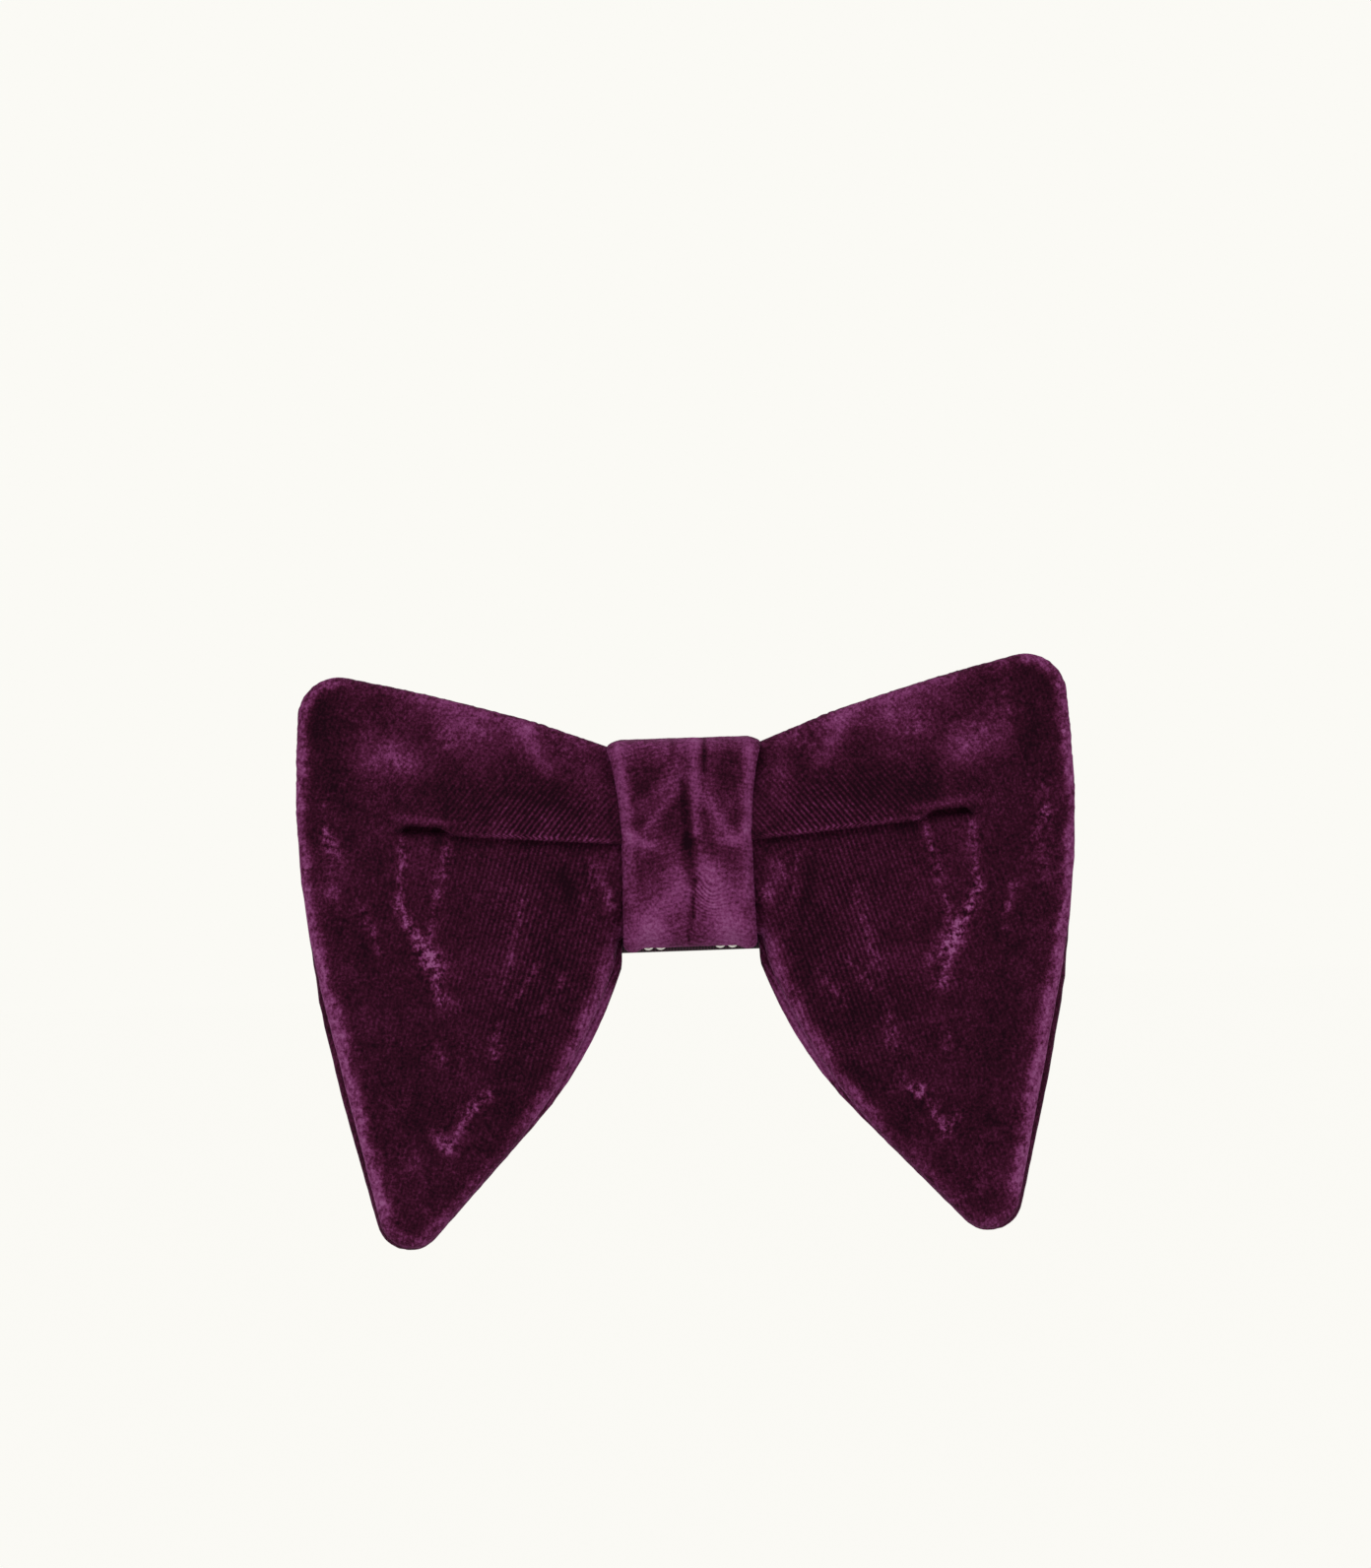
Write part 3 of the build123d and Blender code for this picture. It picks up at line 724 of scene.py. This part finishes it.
ribbon = {
    "thick": 0.9, "halfHeight": 9.0,
    "ribSpacing": 0.6,      # mm, weft ribs across the ribbon
    "ribHeight": 0.11,
    "barTurn": 1.3,         # radius of its middle line round a bar
    "pinch": (0.9, 2.6),    # where the two layers start to close behind a bar, and where they lie together
    "edge": 0.5,            # rolled edge
    "barInset": 0.75,       # the clasps' bars lie this far inside their ends
    # laps turned back at the tape, the rings, the eye and the hook
    "tapeLap": 3.0, "ringLap": 6.2, "eyeLap": 6.5, "hookLap": 25.0,
    "leave": 12.0,          # degrees that a strap turns away from the tape at its ring
    "frontBend": 39.4, "backBend": 28.0,
}


# the middle line of a ribbon end: doubled back from its cut end, round a bar and away again
def aroundBar(bar, heading, lap, turn):
    side = Vector((-heading.y, heading.x)) * turn
    layer = ribbon["thick"] / 2
    r = ribbon["barTurn"]
    opens, closes = ribbon["pinch"]
    points = [bar + heading * lap + side * layer, bar + heading * closes + side * layer,
              bar + heading * opens + side * r, bar - heading * r + side * r, bar - heading * r - side * r,
              bar + heading * opens - side * r, bar + heading * closes - side * layer,
              bar + heading * (lap + 0.1) - side * layer, bar + heading * (lap + 1.6)]
    return points, [1.5, 1.0, r * 0.98, r * 0.98, 1.0, 1.5, 2.0, 2.0]


def ribbonBody(name, points, radii, body, replaced):
    line, length = alongRun(roundedRun(points, radii, step=9)[0])
    ribs = round(length / ribbon["ribSpacing"])
    half, thick = ribbon["halfHeight"], ribbon["thick"] / 2

    def place(u, v):
        centre = line(u)
        along = (line(u + 0.0008) - line(u - 0.0008)).normalized()
        out = Vector((-along.y, along.x))
        s = 1 - 4 * v if v < 0.5 else 4 * v - 3
        z = half * math.sin(math.pi / 2 * s)
        rolled = min((half - abs(z)) / ribbon["edge"], 1)
        crown = 0.5 + 0.5 * math.cos(2 * math.pi * ribs * u)
        lift = (thick - ribbon["ribHeight"] * (1 - crown)) * math.sqrt(max(1 - (1 - rolled) ** 2, 0))
        centre = centre + out * (lift if v < 0.5 else -lift)
        return Vector((centre.x, centre.y, z))

    bm = placedGrid(ribs * 4, 24, place)
    closeAndTurn(bm)
    piece = addPiece(name, bm, ribbed, body, replaced)
    mesh = piece.data
    ribCrownHighlight = mesh.attributes.new("ribCrownHighlight", "FLOAT", "POINT")
    columns = ribs * 4
    nearest = kdtree.KDTree(columns + 1)
    for k in range(columns + 1):
        nearest.insert(line(k / columns).to_3d(), k)
    nearest.balance()
    # painted highlight on each rib's crown
    for vert in mesh.vertices:
        k = nearest.find(Vector((vert.co.x, vert.co.y, 0)) / mm)[1]
        ribCrownHighlight.data[vert.index].value = 0.5 + 0.5 * math.cos(math.pi / 2 * k)
    return piece


def barCentre(node, inner):
    low, high = [Vector(c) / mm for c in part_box(node)]
    wire = (high.y - low.y) / 2
    x = low.x + wire if inner == (low.x + high.x > 0) else high.x - wire
    return Vector((x, (low.y + high.y) / 2))


# the tape behind the knot: round one ring bar, straight across, round the other
def makeTape():
    flatY = -ribbon["thick"] / 2
    r = ribbon["barTurn"]
    points = []
    for name, hand in (("left", -1), ("right", 1)):
        bar = barCentre(f"ring_{name}", True)
        lapX, endX, lapY = bar.x - hand * ribbon["tapeLap"], bar.x + hand * r, bar.y - r
        turn = [(lapX, lapY), (endX, lapY), (endX, flatY), (lapX, flatY)]
        points += turn if hand < 0 else turn[::-1]
    tight = r * 0.98
    ribbonBody("back_tape_ribbon", points, [tight, tight, 1, 1, tight, tight], "bow", ("back_tape",))


# a strap: round its ring, out and round the neck, and round its half of the clasp
def makeStrap(name, hand, clasp, lap):
    ringBar = barCentre(f"ring_{name}", False)
    leave = math.radians(ribbon["leave"])
    heading = Vector((hand * math.cos(leave), math.sin(leave)))
    low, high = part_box(f"strap_{name}_back")
    sideX = (high[0] if hand > 0 else low[0]) / mm - hand * ribbon["thick"] / 2
    claspLow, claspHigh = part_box(clasp)
    claspX = (claspHigh[0] if hand > 0 else claspLow[0]) / mm - hand * ribbon["barInset"]
    claspY = barCentre("clasp_eye", False).y
    points, radii = aroundBar(ringBar, heading, ribbon["ringLap"], hand)
    corner = ringBar + heading * (sideX - ringBar.x) / heading.x
    tail, tailRadii = aroundBar(Vector((claspX, claspY)), Vector((hand, 0)), lap, hand)
    points += [corner, Vector((sideX, claspY))] + tail[::-1]
    radii = radii[:-1] + [2.0, ribbon["frontBend"], ribbon["backBend"]] + tailRadii[::-1]
    strap = ribbonBody(f"strap_{name}", points, radii, None, (f"strap_{name}_front", f"strap_{name}_back"))
    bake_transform(strap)


makeTape()
makeStrap("right", 1, "clasp_hook", ribbon["hookLap"])
makeStrap("left", -1, "clasp_eye", ribbon["eyeLap"])
print("ribbons made")

stitch = {
    "pitch": 0.55, "thread": 0.34, "length": 1.5, "slant": 0.35,
    "onStrap": 0.93, "onTape": 1.78,    # how far the stitches lie from the middle of the ribbon's layers
    "tapeInset": 0.4,
    "seamCount": 13, "seamLength": 2.3, "seamEnds": 1.5,
}


def oneStitch(bm, centre, along, length):
    made = bmesh.ops.create_uvsphere(bm, u_segments=8, v_segments=6, radius=0.5)["verts"]
    turn = Vector((0, 0, 1)).rotation_difference(along).to_matrix().to_4x4()
    size = Matrix.Diagonal((stitch["thread"] * mm, stitch["thread"] * mm, length * mm, 1))
    bmesh.ops.transform(bm, matrix=Matrix.Translation(centre * mm) @ turn @ size, verts=made)


# bar tacks: close zigzag stitches on both faces of the doubled ribbon
def barTack(name, node, body, turn, depth, inset=None):
    low, high = [Vector(c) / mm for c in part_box(node)]
    middle = (low + high) / 2
    places = [middle.x] if inset is None else [low.x + inset, high.x - inset]
    along = Vector((math.cos(turn), math.sin(turn), 0))
    out = Vector((-along.y, along.x, 0))
    count = int((high.z - low.z) / stitch["pitch"])
    bm = bmesh.new()
    for x in places:
        for face in (-1, 1):
            for k in range(count):
                z = low.z + (high.z - low.z) * (k + 0.5) / count
                slant = Vector((0, 0, stitch["slant"] if k % 2 else -stitch["slant"]))
                centre = Vector((x, middle.y, 0)) + out * face * depth
                oneStitch(bm, Vector((centre.x, centre.y, z)), (along + slant).normalized(), stitch["length"])
    addPiece(name, bm, sewingThread, body, (node,))


lean = math.radians(ribbon["leave"])
barTack("tape_tack_stitches", "back_tape_tacks", "bow", 0, stitch["onTape"], stitch["tapeInset"])
barTack("ring_tack_right", "strap_right_front_tack", "strap_right_front", lean, stitch["onStrap"])
barTack("ring_tack_left", "strap_left_front_tack", "strap_left_front", -lean, stitch["onStrap"])
barTack("clasp_tack_right", "strap_right_back_tack", "strap_right_back", 0, stitch["onStrap"])
barTack("clasp_tack_left", "strap_left_back_tack", "strap_left_back", 0, stitch["onStrap"])


# the knot's ends meet behind: slip stitches lean across the join
def makeKnotSeam():
    low, high = [Vector(c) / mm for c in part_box("knot_back_seam")]
    bm = bmesh.new()
    first, last, count = low.x + stitch["seamEnds"], high.x - stitch["seamEnds"], stitch["seamCount"]
    for k in range(count):
        x = first + (last - first) * k / (count - 1)
        place = Vector((x, high.y + 0.05, (low.z + high.z) / 2))
        oneStitch(bm, place, Vector((0.5, 0, 1)).normalized(), stitch["seamLength"])
    addPiece("knot_back_stitches", bm, sewingThread, "bow", ("knot_back_seam",))


pad = {"edge": 0.8, "nap": 0.12, "cuts": 7}     # mm of rounded edge and of uneven surface


# felt pad between knot and tape
def makePad():
    low, high = [Vector(c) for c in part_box("back_pad")]
    bm = bmesh.new()
    bmesh.ops.create_cube(bm, size=1)
    bmesh.ops.scale(bm, vec=high - low, verts=bm.verts)
    bmesh.ops.translate(bm, vec=(low + high) / 2, verts=bm.verts)
    bmesh.ops.bevel(bm, geom=bm.edges[:], offset=pad["edge"] * mm, segments=4, profile=0.5,
                    affect="EDGES", material=-1)
    longEdges = [e for e in bm.edges if e.calc_length() > 2 * mm]
    bmesh.ops.subdivide_edges(bm, edges=longEdges, cuts=pad["cuts"], use_grid_fill=True)
    for vert in bm.verts:
        inwards = ((low + high) / 2 - vert.co).normalized()
        vert.co += inwards * pad["nap"] * (1 + noise.noise(vert.co / mm * 0.8)) * mm
    bmesh.ops.recalc_face_normals(bm, faces=bm.faces)
    addPiece("felt_pad", bm, woolFelt, "bow", ("back_pad",))


makeKnotSeam()
makePad()
print("stitches and pad made")

slotFinish = {"velvet": velvet, "interlining": hairCanvas, "thread": sewingThread,
              "ribbed_tape": ribbed, "felt": woolFelt, "silver_wire": nickel}
for row in frame["record"]["subparts"]:
    mesh = frame["nodes"][row["node"]].data
    mesh.materials.clear()
    mesh.materials.append(slotFinish[row["material_slot"]])

studio = {
    "lens": 190.4, "distance": 1.6, "roll": 2.0,
    "aim": (0.12, -15.0, 23.5),      # mm
    "floorDrop": 1.5, "floorSize": 60,
    # place, size in metres, and power in watts
    "lamps": [((-0.7, -1.1, 1.0), 0.7, 9.0), ((0.9, -0.9, 0.3), 0.9, 3.0), ((0.2, 1.2, 0.9), 0.8, 5.0)],
}


def makeStudio():
    scene = bpy.context.scene
    scene.view_settings.view_transform = "Standard"
    world = bpy.data.worlds.new("paleStudio")
    scene.world = world
    world.use_nodes = True
    sky = world.node_tree.nodes["Background"]
    sky.inputs["Color"].default_value = colour("#fbfaf5")
    sky.inputs["Strength"].default_value = 1.0
    bm = bmesh.new()
    bmesh.ops.create_grid(bm, x_segments=1, y_segments=1, size=studio["floorSize"])
    bmesh.ops.translate(bm, verts=bm.verts, vec=(0, 0, -studio["floorDrop"]))
    mesh = bpy.data.meshes.new("floor")
    bm.to_mesh(mesh)
    bm.free()
    floor = bpy.data.objects.new("floor", mesh)
    scene.collection.objects.link(floor)
    paper, _, shader = newMaterial("mattPaper")
    shader.inputs["Base Color"].default_value = (0.997, 0.997, 0.997, 1)
    shader.inputs["Roughness"].default_value = 1.0
    shader.inputs["Specular IOR Level"].default_value = 0.0
    mesh.materials.append(paper)
    for place, size, power in studio["lamps"]:
        light = bpy.data.lights.new("softLamp", "AREA")
        light.size = size
        light.energy = power
        lamp = bpy.data.objects.new("softLamp", light)
        scene.collection.objects.link(lamp)
        lamp.location = place
        lamp.rotation_euler = (-Vector(place)).to_track_quat("-Z", "Y").to_euler()
    lens = bpy.data.cameras.new("camera")
    lens.lens = studio["lens"]
    lens.clip_end = 200
    camera = bpy.data.objects.new("camera", lens)
    scene.collection.objects.link(camera)
    camera.location = Vector(studio["aim"]) * mm - Vector((0, studio["distance"], 0))
    camera.rotation_euler = (math.radians(90), math.radians(studio["roll"]), 0)
    scene.camera = camera


makeStudio()
print("studio made")
